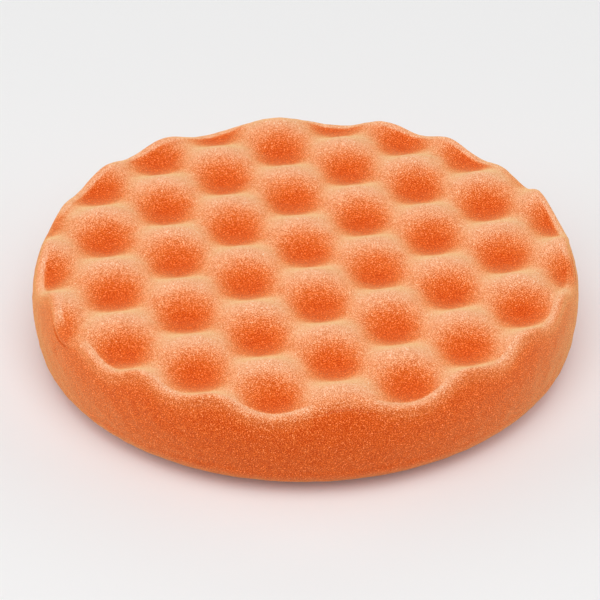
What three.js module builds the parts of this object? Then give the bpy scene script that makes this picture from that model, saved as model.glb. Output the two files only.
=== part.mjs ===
// A round waffle-faced foam polishing pad that sticks to a machine's hook plate by its loop face.
//
// Frame: millimetres, +Z up. The loop face lies on the plane z = 0 with its centre at the origin,
// and the waffle-cut working face points to +Z.

import * as THREE from "three";
import { mergeVertices } from "three/addons/utils/BufferGeometryUtils.js";

// ---- Driving dimensions -------------------------------------------------------------------

const PAD_RADIUS = 75; // at the widest part of the foam's side, which bellies out slightly
const PAD_HEIGHT = 30; // loop face to the tops of the waffle

// The hook-and-loop backing, from the bottom up. It is set in from the foam's lower edge.
const BACKING_RADIUS = 66.5;
const LOOP_PILE_HEIGHT = 1.1;
const GROUND_CLOTH_HEIGHT = 0.6;
const ADHESIVE_HEIGHT = 0.3;
const PILE_EDGE_RADIUS = 0.5;
const ADHESIVE_INSET = 0.3;

// The foam's side: a shallow belly, drawn in towards the top and rounded under at the bottom.
const BELLY_SHARE = 0.505; // height of the widest point, as a share of the foam's height
const TOP_DRAW_IN = 4.5; // how much smaller the radius gets from the belly to the waffle tops
const BOTTOM_DRAW_IN = 2.3; // the same, from the belly to the foam's lower face
const LOWER_EDGE_WIDTH = 6.3; // the rounded lower edge, measured across
const LOWER_EDGE_HEIGHT = 6.1; // and measured up
const TOP_EDGE_RADIUS = 2.3; // the rounded edge between the side and the waffle face

// The waffle: dimples in a centred rectangular pattern, turned a little from the X axis.
const DIMPLE_DEPTH = 5.8;
const PATTERN_LENGTH = 35.5; // from one dimple to the next along the pattern's long direction
const PATTERN_WIDTH = 26.8; // and across it; one more dimple sits in the middle of each rectangle
const PATTERN_TURN = THREE.MathUtils.degToRad(7.4);
const PATTERN_CENTRE = { x: 0.2, y: 0.0 };

// The soft foam is cut while it is squeezed, so the rows of dimples are not quite straight.
const ROW_BOW = 2.4; // rows lean forward by this much at both ends
const ROW_SWAY = 4.5; // forward at the +X end and back at the -X end
const ROW_STRETCH = 1.0; // rows run out by this much at the ends

// How round the dimples and ridges are: shares of the finer waves in the cut.
const LONG_WAVE = 0.03;
const WIDE_WAVE = -0.14;
const CROSS_WAVE = -0.08;

// How finely the surfaces are cut up.
const TURN_STEPS = 96;
const FACE_RINGS = 20;
const TOP_EDGE_STEPS = 3;
const SIDE_STEPS = 4;
const LOWER_EDGE_STEPS = 4;
const DISC_TURN_STEPS = 72;
const DISC_EDGE_STEPS = 3;
const RIM_PASSES = 3; // rounds of finding the rim's height from its radius and back

// ---- Derived sizes ------------------------------------------------------------------------

const CLOTH_LEVEL = LOOP_PILE_HEIGHT;
const ADHESIVE_LEVEL = CLOTH_LEVEL + GROUND_CLOTH_HEIGHT;
const FOAM_LEVEL = ADHESIVE_LEVEL + ADHESIVE_HEIGHT;
const FOAM_HEIGHT = PAD_HEIGHT - FOAM_LEVEL;
const BELLY_HEIGHT = FOAM_HEIGHT * BELLY_SHARE;

// ---- The foam's shape ---------------------------------------------------------------------

/** Uneven wave that is largest at a dimple's centre and smallest on the ridges' tops. */
function waffleWave(along, across) {
  const a = 2 * Math.PI * along;
  const b = 2 * Math.PI * across;
  return (
    2 * Math.cos(a) * Math.cos(b) +
    LONG_WAVE * Math.cos(2 * a) +
    WIDE_WAVE * Math.cos(2 * b) +
    CROSS_WAVE * Math.cos(2 * a) * Math.cos(2 * b)
  );
}

const DEEPEST_WAVE = waffleWave(0, 0);
const HIGHEST_WAVE = waffleWave(0.5, 0);

/** Depth of the waffle below its tops at a point of the working face. */
function dimpleDepth(x, y) {
  const s = x / PAD_RADIUS;
  const px = x + ROW_STRETCH * s * s - PATTERN_CENTRE.x;
  const py = y - ROW_BOW * s * s - ROW_SWAY * s * s * s - PATTERN_CENTRE.y;
  const along = (px * Math.cos(PATTERN_TURN) + py * Math.sin(PATTERN_TURN)) / PATTERN_LENGTH;
  const across = (py * Math.cos(PATTERN_TURN) - px * Math.sin(PATTERN_TURN)) / PATTERN_WIDTH;
  const share = (waffleWave(along, across) - HIGHEST_WAVE) / (DEEPEST_WAVE - HIGHEST_WAVE);
  return DIMPLE_DEPTH * share;
}

/** Radius of the foam's side at a height above its lower face. */
function sideRadius(height) {
  if (height > BELLY_HEIGHT) {
    const rise = (height - BELLY_HEIGHT) / (FOAM_HEIGHT - BELLY_HEIGHT);
    return PAD_RADIUS - TOP_DRAW_IN * rise * rise;
  }
  const drop = (BELLY_HEIGHT - height) / BELLY_HEIGHT;
  return PAD_RADIUS - BOTTOM_DRAW_IN * drop * drop;
}

/** Height of the working face at a distance from the centre in a direction. */
function faceHeight(radius, direction) {
  return FOAM_HEIGHT - dimpleDepth(radius * direction.x, radius * direction.y);
}

/** Where the side meets the top edge's rounding in a direction: it follows the waffle up and down. */
function rimAt(direction) {
  let height = FOAM_HEIGHT - TOP_EDGE_RADIUS;
  for (let pass = 0; pass < RIM_PASSES; pass += 1) {
    height = faceHeight(sideRadius(height) - TOP_EDGE_RADIUS, direction) - TOP_EDGE_RADIUS;
  }
  return { radius: sideRadius(height), height };
}

/** The rings of the foam from the middle of its lower face, round the side, to the top's middle. */
function foamRings() {
  const edgeTopRadius = sideRadius(LOWER_EDGE_HEIGHT);
  const baseRadius = edgeTopRadius - LOWER_EDGE_WIDTH;
  const rings = [() => ({ radius: 0, height: 0 })];
  for (let i = 0; i <= LOWER_EDGE_STEPS; i += 1) {
    const turn = (i / LOWER_EDGE_STEPS) * (Math.PI / 2);
    const radius = baseRadius + LOWER_EDGE_WIDTH * Math.sin(turn);
    const height = LOWER_EDGE_HEIGHT * (1 - Math.cos(turn));
    rings.push(() => ({ radius, height }));
  }
  for (let i = 1; i < SIDE_STEPS; i += 1) {
    const share = i / SIDE_STEPS;
    rings.push((direction) => {
      const height = THREE.MathUtils.lerp(LOWER_EDGE_HEIGHT, rimAt(direction).height, share);
      return { radius: sideRadius(height), height };
    });
  }
  for (let i = 0; i <= TOP_EDGE_STEPS; i += 1) {
    const turn = (i / TOP_EDGE_STEPS) * (Math.PI / 2);
    rings.push((direction) => {
      const radius = rimAt(direction).radius - TOP_EDGE_RADIUS * (1 - Math.cos(turn));
      const height = faceHeight(radius, direction) - TOP_EDGE_RADIUS * (1 - Math.sin(turn));
      return { radius, height };
    });
  }
  for (let i = FACE_RINGS - 1; i >= 0; i -= 1) {
    const share = i / FACE_RINGS;
    rings.push((direction) => {
      const radius = share * (rimAt(direction).radius - TOP_EDGE_RADIUS);
      return { radius, height: faceHeight(radius, direction) };
    });
  }
  return rings;
}

/** The foam disc: a lathed body whose rings are then laid onto the waffle and the side. */
function foamGeometry() {
  const rings = foamRings();
  const outline = rings.map((ring) => {
    const { radius, height } = ring({ x: 1, y: 0 });
    return new THREE.Vector2(radius, height);
  });
  const geometry = new THREE.LatheGeometry(outline, TURN_STEPS);
  geometry.rotateX(Math.PI / 2);
  const position = geometry.getAttribute("position");
  for (let step = 0; step <= TURN_STEPS; step += 1) {
    const angle = (2 * Math.PI * (step % TURN_STEPS)) / TURN_STEPS;
    const direction = { x: Math.sin(angle), y: -Math.cos(angle) };
    rings.forEach((ring, index) => {
      const { radius, height } = ring(direction);
      const vertex = step * rings.length + index;
      position.setXYZ(vertex, radius * direction.x, radius * direction.y, FOAM_LEVEL + height);
    });
  }
  geometry.deleteAttribute("normal");
  geometry.deleteAttribute("uv");
  return mergeVertices(geometry);
}

// ---- The backing --------------------------------------------------------------------------

/** A flat disc between two levels, with its lower edge rounded where edge is over zero. */
function discGeometry(radius, low, high, edge = 0) {
  const outline = [new THREE.Vector2(0, low)];
  if (edge > 0) {
    for (let i = 0; i <= DISC_EDGE_STEPS; i += 1) {
      const turn = (i / DISC_EDGE_STEPS) * (Math.PI / 2);
      const across = radius - edge + edge * Math.sin(turn);
      outline.push(new THREE.Vector2(across, low + edge * (1 - Math.cos(turn))));
    }
  } else {
    outline.push(new THREE.Vector2(radius, low));
  }
  outline.push(new THREE.Vector2(radius, high), new THREE.Vector2(0, high));
  const geometry = new THREE.LatheGeometry(outline, DISC_TURN_STEPS);
  geometry.rotateX(Math.PI / 2);
  return geometry;
}

// ---- Materials and assembly ---------------------------------------------------------------

const foamMaterial = new THREE.MeshStandardMaterial({ color: 0xec8a4a, roughness: 0.95, metalness: 0 });
const adhesiveMaterial = new THREE.MeshStandardMaterial({ color: 0xd9c9a8, roughness: 0.5, metalness: 0 });
const clothMaterial = new THREE.MeshStandardMaterial({ color: 0xe4e2dc, roughness: 0.9, metalness: 0 });
const pileMaterial = new THREE.MeshStandardMaterial({ color: 0xf2f0ea, roughness: 0.95, metalness: 0 });

function piece(name, geometry, material) {
  const mesh = new THREE.Mesh(geometry, material);
  mesh.name = name;
  return mesh;
}

const pad = new THREE.Group();
pad.name = "polishing_pad";
pad.add(piece("foam_disc", foamGeometry(), foamMaterial));

const backing = new THREE.Group();
backing.name = "hook_and_loop_backing";
backing.add(
  piece(
    "adhesive_film",
    discGeometry(BACKING_RADIUS - ADHESIVE_INSET, ADHESIVE_LEVEL, FOAM_LEVEL),
    adhesiveMaterial,
  ),
  piece("loop_ground_cloth", discGeometry(BACKING_RADIUS, CLOTH_LEVEL, ADHESIVE_LEVEL), clothMaterial),
  piece("loop_pile", discGeometry(BACKING_RADIUS, 0, CLOTH_LEVEL, PILE_EDGE_RADIUS), pileMaterial),
);
pad.add(backing);

export default pad;
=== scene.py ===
"""A round waffle-faced foam polishing pad, lying on its loop face on a pale floor."""

import math

import bpy
import numpy as np
from mathutils import Matrix, Vector, noise


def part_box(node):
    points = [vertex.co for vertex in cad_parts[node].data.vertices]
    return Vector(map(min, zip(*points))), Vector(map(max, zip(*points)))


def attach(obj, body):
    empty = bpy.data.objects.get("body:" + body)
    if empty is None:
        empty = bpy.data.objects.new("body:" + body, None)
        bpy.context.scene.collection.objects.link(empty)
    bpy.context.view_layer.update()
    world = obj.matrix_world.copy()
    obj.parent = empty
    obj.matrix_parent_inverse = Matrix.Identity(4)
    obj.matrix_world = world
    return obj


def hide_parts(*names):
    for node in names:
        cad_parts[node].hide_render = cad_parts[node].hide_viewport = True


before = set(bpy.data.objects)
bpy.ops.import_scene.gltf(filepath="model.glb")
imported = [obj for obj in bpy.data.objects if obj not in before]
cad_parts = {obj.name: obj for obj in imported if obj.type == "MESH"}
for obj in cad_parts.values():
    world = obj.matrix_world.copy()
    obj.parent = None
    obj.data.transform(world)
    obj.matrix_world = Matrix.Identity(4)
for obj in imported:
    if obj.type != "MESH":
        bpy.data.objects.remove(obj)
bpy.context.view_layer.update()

MM = 0.001

# ---- Sizes: the outer ones come from the frame, the waffle's repeat the CAD part's --------

FOAM_LOW, FOAM_HIGH = (Vector(corner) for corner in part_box("foam_disc"))
FILM_LOW, FILM_HIGH = (Vector(corner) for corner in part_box("adhesive_film"))
CLOTH_LOW, CLOTH_HIGH = (Vector(corner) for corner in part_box("loop_ground_cloth"))

PAD_RADIUS = (FOAM_HIGH.y - FOAM_LOW.y) / 2
FOAM_HEIGHT = FOAM_HIGH.z - FOAM_LOW.z
CLOTH_RADIUS = (CLOTH_HIGH.y - CLOTH_LOW.y) / 2

BELLY_SHARE = 0.505  # height of the widest point, as a share of the foam's height
BELLY_HEIGHT = BELLY_SHARE * FOAM_HEIGHT
TOP_DRAW_IN = 4.5 * MM
BOTTOM_DRAW_IN = 2.3 * MM
LOWER_EDGE_WIDTH = 6.3 * MM
LOWER_EDGE_HEIGHT = 6.1 * MM
TOP_EDGE_RADIUS = 2.3 * MM

DIMPLE_DEPTH = 5.8 * MM
PATTERN_LENGTH = 35.5 * MM
PATTERN_WIDTH = 26.8 * MM
PATTERN_TURN = math.radians(7.4)
PATTERN_CENTRE = (0.2 * MM, 0.0 * MM)
ROW_BOW = 2.4 * MM
ROW_SWAY = 4.5 * MM
ROW_STRETCH = 1.0 * MM
LONG_WAVE = 0.03
WIDE_WAVE = -0.14
CROSS_WAVE = -0.08

# ---- How finely the foam is cut up, and how its surface wanders ---------------------------

FACE_RINGS = 118
TOP_EDGE_STEPS = 6
SIDE_STEPS = 32
LOWER_EDGE_STEPS = 14
BASE_SHARES = (0.96, 0.6)  # rings on the flat base, as shares of its radius
FLAT_RINGS = 4  # the last rings, on the flat base, which stay flat
RIM_PASSES = 3  # rounds of finding the rim's height from its radius and back
FACE_POINTS = 1 + 3 * FACE_RINGS * (FACE_RINGS + 1)
RIM_POINTS = 6 * FACE_RINGS

SURFACE_WANDER = [(4.0 * MM, 0.16 * MM), (1.6 * MM, 0.07 * MM)]  # wavelength and size
SIDE_TOP = 19 * MM  # above the foam's base; points below this wander outwards, the others upwards

# ---- Where the foam is pale, as tuned to one photograph -----------------------------------

# The foam's paleness is painted light and shade. It is pale on the tops and on slopes that lean towards
# +Y, where the back light is, and saturated deep in the dimples, where shade falls.
PAINTED_LIGHT_RISE = 0.40  # the smaller this is, the further down from the tops the painted light reaches
PAINTED_LIGHT_LEAN = 0.9  # how much paler the painted light makes slopes that lean towards +Y; tuned to one view, not known
STEEPEST = 0.2  # the least upward share of a normal that is used when its lean is worked out
# The side gets at least this much painted light, and the rim's lip gets a painted highlight that fades
# down the side as a painted glow.
WALL_PAINTED_LIGHT = 0.07
# How far the rim's painted highlight reaches in over the face.
RIM_HIGHLIGHT_WIDTH = 1.4 * MM
LIP_REACH = 1.5 * MM  # the rim's rise is measured over this distance
RIM_HIGHLIGHT_SLOPES = (-0.45, -0.05)  # rise of the face towards the rim for no painted lip highlight and for a full one
# How fast the rim's painted glow fades down the side.
RIM_LIGHT_FADE = 2.2 * MM

# ---- Camera -------------------------------------------------------------------------------

CAMERA_DISTANCE = 834.8 * MM
CAMERA_ELEVATION = math.radians(33.99)
CAMERA_ROLL = math.radians(-0.494)
CAMERA_LENS = 181.4  # on the usual 36 mm sensor
CAMERA_NEAR = 0.05
AIM_HEIGHT = 13.25 * MM
AIM_LEFT = 1.53 * MM  # the view is centred this far left of the pad's middle
AIM_DOWN = 1.41 * MM  # and this far below it


def make_camera():
    """A long lens that looks down on the pad from the front."""
    away = Vector((0, -math.cos(CAMERA_ELEVATION), math.sin(CAMERA_ELEVATION)))
    up = Vector((0, math.sin(CAMERA_ELEVATION), math.cos(CAMERA_ELEVATION)))
    aim = Vector((-AIM_LEFT, 0, AIM_HEIGHT)) - AIM_DOWN * up
    data = bpy.data.cameras.new("camera")
    data.lens = CAMERA_LENS
    data.clip_start = CAMERA_NEAR
    camera = bpy.data.objects.new("camera", data)
    turn = (-away).to_track_quat("-Z", "Y").to_matrix().to_4x4()
    roll = Matrix.Rotation(CAMERA_ROLL, 4, "Z")
    camera.matrix_world = Matrix.Translation(aim + CAMERA_DISTANCE * away) @ turn @ roll
    bpy.context.scene.collection.objects.link(camera)
    bpy.context.scene.camera = camera


make_camera()

# ---- The foam's shape ---------------------------------------------------------------------


def waffle_wave(along, across):
    """Largest at a dimple's centre and smallest on the tops between dimples."""
    a = 2 * np.pi * along
    b = 2 * np.pi * across
    return (
        2 * np.cos(a) * np.cos(b)
        + LONG_WAVE * np.cos(2 * a)
        + WIDE_WAVE * np.cos(2 * b)
        + CROSS_WAVE * np.cos(2 * a) * np.cos(2 * b)
    )


DEEPEST_WAVE = waffle_wave(0.0, 0.0)
HIGHEST_WAVE = waffle_wave(0.5, 0.0)


def dimple_share(x, y):
    """How far down the waffle is at a point, from 0 on its tops to 1 at a dimple's centre."""
    s = x / PAD_RADIUS
    px = x + ROW_STRETCH * s**2 - PATTERN_CENTRE[0]
    py = y - ROW_BOW * s**2 - ROW_SWAY * s**3 - PATTERN_CENTRE[1]
    along = (px * math.cos(PATTERN_TURN) + py * math.sin(PATTERN_TURN)) / PATTERN_LENGTH
    across = (py * math.cos(PATTERN_TURN) - px * math.sin(PATTERN_TURN)) / PATTERN_WIDTH
    return (waffle_wave(along, across) - HIGHEST_WAVE) / (DEEPEST_WAVE - HIGHEST_WAVE)


def side_radius(height):
    """Radius of the foam's side at heights above its lower face."""
    rise = np.clip((height - BELLY_HEIGHT) / (FOAM_HEIGHT - BELLY_HEIGHT), 0, None)
    drop = np.clip((BELLY_HEIGHT - height) / BELLY_HEIGHT, 0, None)
    return PAD_RADIUS - TOP_DRAW_IN * rise**2 - BOTTOM_DRAW_IN * drop**2


def face_height(radius, c, s):
    """Height of the working face above the foam's lower face."""
    return FOAM_HEIGHT - DIMPLE_DEPTH * dimple_share(radius * c, radius * s)


def rim(c, s):
    """Radius and height where the side meets the rounded top edge, in the directions (c, s)."""
    height = np.full_like(c, FOAM_HEIGHT - TOP_EDGE_RADIUS)
    for _ in range(RIM_PASSES):
        height = face_height(side_radius(height) - TOP_EDGE_RADIUS, c, s) - TOP_EDGE_RADIUS
    return side_radius(height), height


def link_mesh(name, points, faces):
    """A new smooth mesh object in the scene."""
    mesh = bpy.data.meshes.new(name)
    mesh.from_pydata(points.tolist(), [], faces.tolist())
    mesh.shade_smooth()
    mesh.update()
    piece = bpy.data.objects.new(name, mesh)
    bpy.context.scene.collection.objects.link(piece)
    return piece


def ring_faces(inner_start, inner_count, outer_start, outer_count):
    """Triangles between two rings, whose counts are equal or differ by one in each of six sectors."""
    if inner_count > outer_count:
        return ring_faces(outer_start, outer_count, inner_start, inner_count)[:, ::-1]
    if inner_count == outer_count:
        j = np.arange(inner_count)
        k = (j + 1) % inner_count
        a, b, c, d = inner_start + j, inner_start + k, outer_start + j, outer_start + k
        return np.concatenate([np.column_stack([a, c, d]), np.column_stack([a, d, b])])
    inner, outer = inner_count // 6, outer_count // 6
    faces = []
    for sector in range(6):
        j = np.arange(outer)
        a = inner_start + (sector * inner + j) % max(inner_count, 1)
        b = outer_start + sector * outer + j
        c = outer_start + (sector * outer + j + 1) % outer_count
        faces.append(np.column_stack([a, b, c]))
        j = np.arange(inner)
        a = inner_start + sector * inner + j
        b = outer_start + sector * outer + j + 1
        c = inner_start + (sector * inner + j + 1) % max(inner_count, 1)
        faces.append(np.column_stack([a, b, c]))
    return np.concatenate(faces)


def round_body(name, rings):
    """A closed body from rings of points (n x 3 arrays) that start and end at a single point."""
    points = np.concatenate(rings)
    starts = np.cumsum([0] + [len(ring) for ring in rings])
    faces = []
    for i in range(len(rings) - 1):
        a, b = len(rings[i]), len(rings[i + 1])
        if b == 1:
            j = np.arange(a)
            middle = np.full(a, starts[i + 1])
            faces.append(np.column_stack([starts[i] + j, middle, starts[i] + (j + 1) % a]))
        elif a == 1:
            j = np.arange(b)
            middle = np.full(b, starts[i])
            faces.append(np.column_stack([middle, starts[i + 1] + j, starts[i + 1] + (j + 1) % b]))
        else:
            faces.append(ring_faces(starts[i], a, starts[i + 1], b))
    return link_mesh(name, points, np.concatenate(faces))


def directions(count):
    """Cosines and sines of that many directions, evenly around from +X."""
    angle = 2 * np.pi * np.arange(count) / count
    return np.cos(angle), np.sin(angle)


def ring_points(radius, height, c, s):
    """Points of a ring in the directions (c, s)."""
    return np.column_stack([radius * c, radius * s, height])


def foam_rings():
    """Rings from the middle of the working face over the rim and down to the middle of the base.

    With them come, for every point, how bare it stands (1 on the waffle's tops, 0 in its dimples)
    and how much of the rim's painted light reaches it (1 at the rim, 0 well away from it)."""
    rings, bare, rim_light_reach = [], [], []

    def add(radius, height, c, s, bareness=1.0, rim_light_share=0.0):
        radius, height = np.broadcast_to(radius, c.shape), np.broadcast_to(height, c.shape)
        rings.append(ring_points(radius, FOAM_LOW.z + height, c, s))
        bare.append(np.broadcast_to(bareness, c.shape))
        rim_light_reach.append(np.broadcast_to(rim_light_share, c.shape))

    for k in range(FACE_RINGS + 1):
        c, s = directions(max(6 * k, 1))
        edge = rim(c, s)[0] - TOP_EDGE_RADIUS
        radius = k / FACE_RINGS * edge
        # Near the rim, the face takes the rim's painted highlight.
        rim_light_share = np.clip(1 - (edge - radius) / RIM_HIGHLIGHT_WIDTH, 0, 1) ** 2
        bareness = 1 - dimple_share(radius * c, radius * s)
        add(radius, face_height(radius, c, s), c, s, bareness, rim_light_share)
    c, s = directions(RIM_POINTS)
    rim_radius, rim_height = rim(c, s)
    for i in range(1, TOP_EDGE_STEPS + 1):
        turn = i / TOP_EDGE_STEPS * math.pi / 2
        radius = rim_radius - TOP_EDGE_RADIUS * (1 - math.sin(turn))
        height = face_height(radius, c, s) - TOP_EDGE_RADIUS * (1 - math.cos(turn))
        drop = TOP_EDGE_RADIUS * (1 - math.cos(turn))
        add(radius, height, c, s, rim_light_share=math.exp(-drop / RIM_LIGHT_FADE))
    # Down the rounded edge and the side, the rim's painted light fades as a painted glow.
    rim_light_at_edge = math.exp(-TOP_EDGE_RADIUS / RIM_LIGHT_FADE)
    for i in range(1, SIDE_STEPS + 1):
        height = rim_height + (LOWER_EDGE_HEIGHT - rim_height) * i / SIDE_STEPS
        rim_light_share = rim_light_at_edge * np.exp((height - rim_height) / RIM_LIGHT_FADE)
        add(side_radius(height), height, c, s, rim_light_share=rim_light_share)
    base_radius = side_radius(np.array(LOWER_EDGE_HEIGHT)) - LOWER_EDGE_WIDTH
    for i in range(1, LOWER_EDGE_STEPS + 1):
        turn = i / LOWER_EDGE_STEPS * math.pi / 2
        radius = base_radius + LOWER_EDGE_WIDTH * math.cos(turn)
        add(radius, LOWER_EDGE_HEIGHT * (1 - math.sin(turn)), c, s)
    for share in BASE_SHARES:
        add(base_radius * share, 0.0, c, s)
    add(0.0, 0.0, np.array([1.0]), np.array([0.0]))
    return rings, np.concatenate(bare), np.concatenate(rim_light_reach)


def rim_highlight(points):
    """How much painted highlight the rim's lip gets near each point.

    It is 1 where the face is level or rises towards the rim, and 0 where it falls steeply."""
    turn = np.arctan2(points[:, 1], points[:, 0])
    c, s = np.cos(turn), np.sin(turn)
    outer = rim(c, s)[0] - TOP_EDGE_RADIUS
    rise = (face_height(outer, c, s) - face_height(outer - LIP_REACH, c, s)) / LIP_REACH
    level = np.clip((rise - RIM_HIGHLIGHT_SLOPES[0]) / (RIM_HIGHLIGHT_SLOPES[1] - RIM_HIGHLIGHT_SLOPES[0]), 0, 1)
    return level * level * (3 - 2 * level)


def paint_light_and_shade(mesh, bare, rim_light_reach):
    """How much painted light the foam gets at each point; where it gets little, that is painted shade.

    On the face it is palest on the tops and on slopes that lean towards +Y, as painted light from there,
    and darkest in the dimples, as painted shade. The rim's lip gets a pale painted highlight too, and that
    fades down the side."""
    count = len(mesh.vertices)
    normals, points = np.empty(count * 3, np.float32), np.empty(count * 3, np.float32)
    mesh.vertex_normals.foreach_get("vector", normals)
    mesh.vertices.foreach_get("co", points)
    normals, points = normals.reshape(-1, 3), points.reshape(-1, 3)
    lean = np.clip(normals[:, 1] / np.maximum(normals[:, 2], STEEPEST), -1, 1)
    # Painted light on the tops and on slopes leaning towards +Y, painted shade deep in the dimples.
    painted_light_and_shade = 1 - np.exp(-((bare * np.exp(PAINTED_LIGHT_LEAN * lean) / PAINTED_LIGHT_RISE) ** 2))
    below = len(bare) - FACE_POINTS
    # The side takes the painted light at the rim, fading downwards, and never less than a little.
    at_rim = painted_light_and_shade[FACE_POINTS - RIM_POINTS:FACE_POINTS]
    from_rim = rim_light_reach[FACE_POINTS:] * np.resize(at_rim, below)
    painted_light_and_shade[FACE_POINTS:] = np.maximum(from_rim, WALL_PAINTED_LIGHT)
    return np.maximum(painted_light_and_shade, rim_light_reach * rim_highlight(points))


def roughen(rings):
    """Cut foam is never quite true: its surface wanders in and out by about a tenth of a millimetre."""
    for ring in rings:
        for point in ring:
            place = Vector(point)
            stray = sum(size * noise.noise(place / length) for length, size in SURFACE_WANDER)
            outwards = np.array([point[0], point[1], 0.0]) / max(math.hypot(point[0], point[1]), MM)
            upwards = np.array([0.0, 0.0, 1.0])
            point += stray * (outwards if point[2] < FOAM_LOW.z + SIDE_TOP else upwards)


def make_foam():
    """The orange foam: one closed body with its painted light and shade as an attribute."""
    rings, bare, rim_light_reach = foam_rings()
    roughen(rings[:-FLAT_RINGS])
    foam = round_body("waffle_foam", rings)
    attribute = foam.data.attributes.new("painted_light_and_shade", "FLOAT", "POINT")
    attribute.data.foreach_set("value", paint_light_and_shade(foam.data, bare, rim_light_reach).astype(np.float32))
    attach(foam, "root")
    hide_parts("foam_disc")
    return foam


# ---- The hook-and-loop backing ------------------------------------------------------------

DISC_RINGS = 60
DISC_EDGE_STEPS = 6
DISC_TOP_SHARES = (0.5, 1.0)  # rings on a disc's flat top, as shares of its radius
# Waves round a disc's edge: how many go round it, their size and where they start.
FILM_WAVES = [(7, 0.12 * MM, 0.0), (17, 0.09 * MM, 1.3), (41, 0.06 * MM, 0.4)]
CLOTH_WAVES = [(5, 0.10 * MM, 0.9), (63, 0.04 * MM, 0.2), (137, 0.04 * MM, 0.7)]
CLOTH_RELIEF = 0.05 * MM
CLOTH_RELIEF_LENGTH = 5 * MM

KNIT_RIB = 1.1 * MM
KNIT_COURSE = 0.7 * MM
WAVE_BANDS = math.pi / 10  # a wave texture of scale 1 has bands this many metres apart

LOOP_SPACING = 1.36 * MM
LOOP_JITTER = 0.3  # of the spacing, each way
LOOP_WIDTHS = (1.1 * MM, 1.8 * MM)
LOOP_HEIGHTS = (0.72, 1.0)  # of the room under the cloth
LOOP_LEAN = 0.55  # of the loop's height, either way
THREAD_RADIUS = 0.13 * MM
LOOP_ROOT = 0.03 * MM  # how far the threads' ends go into the cloth
LOOP_EDGE_GAP = 1.1 * MM
LOOP_STEPS = 4
THREAD_SIDES = 3
LOOP_SEED = 7


def edge_wave(waves, c, s):
    """How far a cut or squeezed edge strays inside its circle; it never goes outside it."""
    turn = np.arctan2(s, c)
    stray = sum(size * np.sin(count * turn + start) for count, size, start in waves)
    return stray - sum(size for _, size, _ in waves)


def disc_rings(radius, low, high, waves, relief):
    """Rings of a thin round layer: a flat top, a rounded edge, and an underside with some relief."""
    half = (high - low) / 2
    c, s = directions(6 * DISC_RINGS)
    edge = radius - half + edge_wave(waves, c, s)
    rings = [ring_points(0.0, high, *directions(1))]
    for share in DISC_TOP_SHARES:
        rings.append(ring_points(share * edge, high + 0 * c, c, s))
    for i in range(1, DISC_EDGE_STEPS):
        turn = i / DISC_EDGE_STEPS * math.pi
        height = low + half + half * math.cos(turn)
        rings.append(ring_points(edge + half * math.sin(turn), height + 0 * c, c, s))
    for k in range(DISC_RINGS, -1, -1):
        c, s = directions(max(6 * k, 1))
        out = k / DISC_RINGS * (radius - half + edge_wave(waves, c, s))
        places = [Vector((x, y, 0)) / CLOTH_RELIEF_LENGTH for x, y in zip(out * c, out * s)]
        rise = [relief * (1 + noise.noise(place)) for place in places]
        rings.append(ring_points(out, low + np.array(rise) * (k < DISC_RINGS), c, s))
    return rings


def make_film():
    """The hot-melt film between foam and cloth, squeezed out unevenly at its edge."""
    film = round_body(
        "adhesive_layer",
        disc_rings(CLOTH_RADIUS, FILM_LOW.z, FILM_HIGH.z, FILM_WAVES, 0.0),
    )
    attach(film, "root")
    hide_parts("adhesive_film")
    return film


def make_cloth():
    """The knitted cloth that the loops stand on, die-cut to a disc."""
    cloth = round_body(
        "knitted_cloth",
        disc_rings(CLOTH_RADIUS, CLOTH_LOW.z, CLOTH_HIGH.z, CLOTH_WAVES, CLOTH_RELIEF),
    )
    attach(cloth, "root")
    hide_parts("loop_ground_cloth")
    return cloth


def loop_feet(chance):
    """Where the loops stand: staggered rows, each loop a little off its place, inside the cloth's edge."""
    reach = CLOTH_RADIUS - LOOP_EDGE_GAP
    count = math.ceil(reach / LOOP_SPACING)
    column, row = np.meshgrid(np.arange(-count, count + 1), np.arange(-count, count + 1))
    x = LOOP_SPACING * (column + 0.5 * (row % 2) + chance.uniform(-LOOP_JITTER, LOOP_JITTER, row.shape))
    y = LOOP_SPACING * (row + chance.uniform(-LOOP_JITTER, LOOP_JITTER, row.shape))
    inside = np.hypot(x, y) < reach
    return np.column_stack([x[inside], y[inside]])


def loop_points(chance):
    """Points of every loop: a half ring of thread hanging from the cloth, leaning and turned at random.

    The array's axes are the loop, the step along it, the corner of the thread, and x, y, z."""
    feet = loop_feet(chance)
    count = len(feet)
    heading = chance.uniform(0, 2 * np.pi, count)
    along = np.column_stack([np.cos(heading), np.sin(heading)])
    across = np.column_stack([-np.sin(heading), np.cos(heading)])
    drop = (CLOTH_LOW.z - THREAD_RADIUS) * chance.uniform(*LOOP_HEIGHTS, count)
    lean = drop * chance.uniform(-LOOP_LEAN, LOOP_LEAN, count)
    half_width = chance.uniform(*LOOP_WIDTHS, count) / 2
    points = np.empty((count, LOOP_STEPS + 1, THREAD_SIDES, 3))
    for i in range(LOOP_STEPS + 1):
        turn = math.pi * i / LOOP_STEPS
        sideways, down = -math.cos(turn), math.sin(turn)
        for j in range(THREAD_SIDES):
            corner = 2 * math.pi * j / THREAD_SIDES
            outward = THREAD_RADIUS * math.cos(corner)
            offset = THREAD_RADIUS * math.sin(corner)
            reach_along = (half_width + outward) * sideways
            reach_across = lean * down + offset
            points[:, i, j, :2] = feet + along * reach_along[:, None] + across * reach_across[:, None]
            points[:, i, j, 2] = CLOTH_LOW.z + LOOP_ROOT - (drop + outward) * down
    return points


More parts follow.
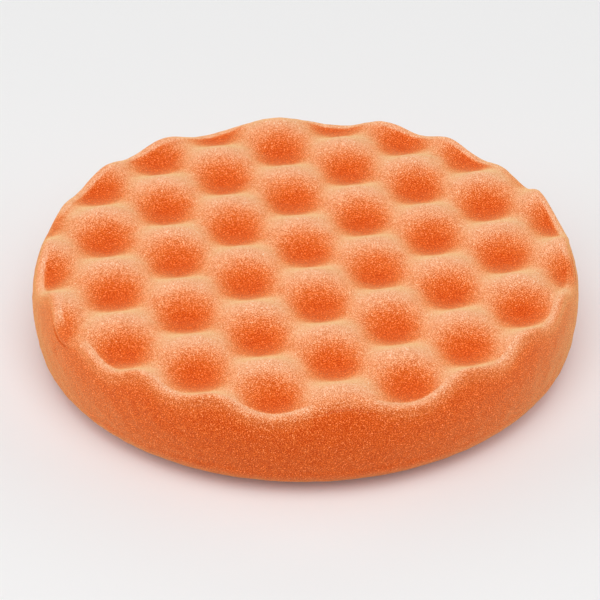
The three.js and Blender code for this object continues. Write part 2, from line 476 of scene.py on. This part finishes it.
def make_loops():
    """The loop pile: thousands of small loops of thread."""
    points = loop_points(np.random.default_rng(LOOP_SEED))
    grid = np.arange(points.size // 3).reshape(points.shape[:3])
    # Known fault: all these faces point into the thread. Reversing each row would turn them out.
    faces = [grid[:, 0, :], grid[:, -1, ::-1]]
    for j in range(THREAD_SIDES):
        a, b = grid[:, :-1, j].ravel(), grid[:, :-1, (j + 1) % THREAD_SIDES].ravel()
        c, d = grid[:, 1:, j].ravel(), grid[:, 1:, (j + 1) % THREAD_SIDES].ravel()
        faces += [np.column_stack([a, d, b]), np.column_stack([a, c, d])]
    loops = link_mesh("thread_loops", points.reshape(-1, 3), np.concatenate(faces))
    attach(loops, "root")
    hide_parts("loop_pile")
    return loops


# ---- Materials ----------------------------------------------------------------------------

CELL_SIZE = 0.22 * MM
CELL_SHARPNESS = 0.45
CELL_BUMP = 0.2 * MM
CELL_BUMP_STRENGTH = 0.6
PAINTED_LIGHT_TO_TONE = (0.30, 0.35)  # gain and offset from the foam's painted light and shade to a place in the foam's tones
CELLS_TO_TONE = (0.88, -0.65)  # the same, from the cells' grain
CELLS_TO_BRIGHTNESS = (0.95, 0.30)
CLOUD_SIZE = 4 * MM
FILAMENT_SIZE = 0.12 * MM
FILAMENT_BUMP = 0.04 * MM
FILAMENT_BUMP_STRENGTH = 0.5
KNIT_BUMP = 0.12 * MM
KNIT_BUMP_STRENGTH = 0.8
COURSE_SHARE = 0.4  # how strong the courses are beside the ribs
KNIT_SHADE = (0.4, 0.55)  # gain and offset from the knit's height to its brightness


def new_material(name):
    """A material, its nodes and its links."""
    material = bpy.data.materials.new(name)
    material.use_nodes = True
    return material, material.node_tree.nodes, material.node_tree.links


def node(nodes, kind, **values):
    """A new node with those settings."""
    made = nodes.new(kind)
    for name, value in values.items():
        setattr(made, name, value)
    return made


def set_inputs(target, **values):
    """Gives a node's sockets fixed values; an underscore stands for a space in a socket's name."""
    for name, value in values.items():
        target.inputs[name.replace("_", " ")].default_value = value


def gain_and_offset(nodes, links, source, gain, offset=0.0):
    """The source times a gain plus an offset, which may itself be an output."""
    step = node(nodes, "ShaderNodeMath", operation="MULTIPLY_ADD")
    step.inputs[1].default_value = gain
    links.new(source, step.inputs[0])
    if isinstance(offset, float):
        step.inputs[2].default_value = offset
    else:
        links.new(offset, step.inputs[2])
    return step.outputs[0]


def texture(nodes, links, kind, scale, **settings):
    """A texture node in the object's own space."""
    place = nodes.get("Texture Coordinate") or nodes.new("ShaderNodeTexCoord")
    made = node(nodes, kind, **settings)
    made.inputs["Scale"].default_value = scale
    links.new(place.outputs["Object"], made.inputs["Vector"])
    return made


def colour_ramp(nodes, links, value, tones):
    """A colour picked from a list of (position, colour) by a value."""
    ramp = nodes.new("ShaderNodeValToRGB")
    elements = ramp.color_ramp.elements
    while len(elements) < len(tones):
        elements.new(0.5)
    for element, (position, colour) in zip(elements, tones):
        element.position = position
        element.color = (*colour, 1)
    links.new(value, ramp.inputs["Fac"])
    return ramp.outputs["Color"]


def scaled_colour(nodes, links, colour, brightness):
    """A colour times a brightness."""
    scale = node(nodes, "ShaderNodeVectorMath", operation="SCALE")
    links.new(colour, scale.inputs[0])
    links.new(brightness, scale.inputs["Scale"])
    return scale.outputs["Vector"]


def bump_from(nodes, links, height, strength, distance, under=None):
    """A bumped normal from a height, on top of another bump where there is one."""
    bump = nodes.new("ShaderNodeBump")
    set_inputs(bump, Strength=strength, Distance=distance)
    links.new(height, bump.inputs["Height"])
    if under:
        links.new(under, bump.inputs["Normal"])
    return bump.outputs["Normal"]


# The foam's tones run from painted shade (deep, saturated orange, for the dimples) to painted light (pale
# peach, for the tops and the rim's lip).
FOAM_SHADE_TO_LIGHT_TONES = [
    (0.00, (0.68, 0.016, 0.000)),
    (0.20, (0.71, 0.034, 0.000)),
    (0.35, (0.76, 0.066, 0.000)),
    (0.50, (0.93, 0.210, 0.032)),
    (0.65, (1.00, 0.475, 0.245)),
    (1.00, (1.00, 0.830, 0.680)),
]


FILM_TONES = [(0.30, (0.55, 0.42, 0.24)), (0.70, (0.72, 0.60, 0.40))]
CLOTH_TONES = [(0.35, (0.46, 0.45, 0.42)), (0.65, (0.66, 0.65, 0.61))]
LOOP_TONES = [(0.35, (0.68, 0.67, 0.63)), (0.65, (0.90, 0.89, 0.85))]


def foam_material():
    """Orange open-cell foam with a fine grain of cells: saturated in the dimples, as painted shade, and
    pale on the tops, as painted light.
    """
    material, nodes, links = new_material("foam")
    shader = nodes["Principled BSDF"]
    set_inputs(shader, Roughness=0.95, Specular_IOR_Level=0.05)
    set_inputs(shader, Sheen_Weight=0.9, Sheen_Roughness=0.45, Sheen_Tint=(1.0, 0.75, 0.34, 1))
    # The foam's painted light and shade, stored on the mesh, picks its tone.
    painted_light_and_shade = node(nodes, "ShaderNodeAttribute", attribute_name="painted_light_and_shade")
    grain = texture(nodes, links, "ShaderNodeTexVoronoi", 1 / CELL_SIZE)
    cells = node(nodes, "ShaderNodeMath", operation="POWER")
    cells.inputs[1].default_value = CELL_SHARPNESS
    links.new(grain.outputs["Distance"], cells.inputs[0])
    level = gain_and_offset(nodes, links, painted_light_and_shade.outputs["Fac"], *PAINTED_LIGHT_TO_TONE)
    jitter = gain_and_offset(nodes, links, cells.outputs[0], *CELLS_TO_TONE)
    tone = node(nodes, "ShaderNodeMath", operation="ADD")
    links.new(level, tone.inputs[0])
    links.new(jitter, tone.inputs[1])
    colour = colour_ramp(nodes, links, tone.outputs[0], FOAM_SHADE_TO_LIGHT_TONES)
    brightness = gain_and_offset(nodes, links, cells.outputs[0], *CELLS_TO_BRIGHTNESS)
    links.new(scaled_colour(nodes, links, colour, brightness), shader.inputs["Base Color"])
    normal = bump_from(nodes, links, cells.outputs[0], CELL_BUMP_STRENGTH, CELL_BUMP)
    links.new(normal, shader.inputs["Normal"])
    return material


def film_material():
    """Cloudy, yellowish hot-melt adhesive."""
    material, nodes, links = new_material("adhesive")
    shader = nodes["Principled BSDF"]
    set_inputs(shader, Roughness=0.38, Specular_IOR_Level=0.45)
    clouds = texture(nodes, links, "ShaderNodeTexNoise", 1 / CLOUD_SIZE)
    set_inputs(clouds, Detail=4)
    colour = colour_ramp(nodes, links, clouds.outputs["Fac"], FILM_TONES)
    links.new(colour, shader.inputs["Base Color"])
    return material


def thread_nodes(name, tones):
    """A material of off-white polyester thread, with its colour and its bumped normal.

    Fine filaments show in both, under a soft sheen."""
    material, nodes, links = new_material(name)
    shader = nodes["Principled BSDF"]
    set_inputs(shader, Roughness=0.75, Specular_IOR_Level=0.3)
    set_inputs(shader, Sheen_Weight=0.3, Sheen_Roughness=0.4)
    filaments = texture(nodes, links, "ShaderNodeTexNoise", 1 / FILAMENT_SIZE)
    set_inputs(filaments, Detail=3)
    colour = colour_ramp(nodes, links, filaments.outputs["Fac"], tones)
    normal = bump_from(nodes, links, filaments.outputs["Fac"], FILAMENT_BUMP_STRENGTH, FILAMENT_BUMP)
    return material, colour, normal


def dress(material, colour, normal):
    """Joins a colour and a normal to the material's shader."""
    shader = material.node_tree.nodes["Principled BSDF"]
    material.node_tree.links.new(colour, shader.inputs["Base Color"])
    material.node_tree.links.new(normal, shader.inputs["Normal"])
    return material


def loop_material():
    """The thread of the loops."""
    return dress(*thread_nodes("loop_pile", LOOP_TONES))


def knit_material():
    """Warp-knit cloth: narrow ribs along Y, crossed by finer courses, in off-white thread."""
    material, colour, normal = thread_nodes("ground_cloth", CLOTH_TONES)
    nodes, links = material.node_tree.nodes, material.node_tree.links
    waves = []
    for direction, pitch, warp in (("X", KNIT_RIB, 0.6), ("Y", KNIT_COURSE, 0.3)):
        scale = WAVE_BANDS / pitch
        wave = texture(nodes, links, "ShaderNodeTexWave", scale, bands_direction=direction)
        set_inputs(wave, Distortion=warp, Detail_Scale=2.0)
        waves.append(wave.outputs["Fac"])
    ribs, courses = waves
    knit = gain_and_offset(nodes, links, courses, COURSE_SHARE, ribs)
    shade = gain_and_offset(nodes, links, knit, *KNIT_SHADE)
    normal = bump_from(nodes, links, knit, KNIT_BUMP_STRENGTH, KNIT_BUMP, normal)
    return dress(material, scaled_colour(nodes, links, colour, shade), normal)


# ---- Stage --------------------------------------------------------------------------------

FLOOR_SIDE = 6
FLOOR_GREY = 0.8
FLOOR_GLOW = 0.08
WORLD_STRENGTH = 0.27
# Each light's name, place and size in metres, and power in watts; all point at the origin.
LIGHTS = [
    ("back", (0, 1.0, 0.40), (1.6, 0.6), 2.5),
    ("top", (0, -0.50, 1.12), (1.2, 1.2), 10.7),
    ("left", (-1.0, 0.1, 0.4), (1.0, 0.6), 3.5),
    ("right", (1.0, 0.1, 0.4), (1.0, 0.6), 2.6),
]


def area_light(name, place, size, power):
    """A soft rectangular light that points at the origin."""
    data = bpy.data.lights.new(name, "AREA")
    data.shape = "RECTANGLE"
    data.size, data.size_y = size
    data.energy = power
    light = bpy.data.objects.new(name, data)
    place = Vector(place)
    aim = (-place).to_track_quat("-Z", "Y").to_matrix().to_4x4()
    light.matrix_world = Matrix.Translation(place) @ aim
    bpy.context.scene.collection.objects.link(light)


def make_floor():
    """A plain pale floor that glows a little, so that it stays light under the pad's side."""
    bpy.ops.mesh.primitive_plane_add(size=FLOOR_SIDE)
    floor = bpy.context.object
    floor.name = "floor"
    material, nodes, _ = new_material("floor")
    grey = (FLOOR_GREY, FLOOR_GREY, FLOOR_GREY, 1)
    set_inputs(nodes["Principled BSDF"], Base_Color=grey, Roughness=0.9)
    set_inputs(
        nodes["Principled BSDF"], Emission_Color=(1, 1, 1, 1), Emission_Strength=FLOOR_GLOW
    )
    floor.data.materials.append(material)


def make_stage():
    """The floor, the lights and an even white surround."""
    make_floor()
    for light in LIGHTS:
        area_light(*light)
    world = bpy.data.worlds.new("studio")
    world.use_nodes = True
    background = world.node_tree.nodes["Background"]
    set_inputs(background, Color=(1, 1, 1, 1), Strength=WORLD_STRENGTH)
    bpy.context.scene.world = world
    bpy.context.scene.view_settings.view_transform = "Standard"


# ---- Assembly -----------------------------------------------------------------------------

foam = make_foam()
foam.data.materials.append(foam_material())
film = make_film()
film.data.materials.append(film_material())
cloth = make_cloth()
cloth.data.materials.append(knit_material())
loops = make_loops()
loops.data.materials.append(loop_material())
make_stage()
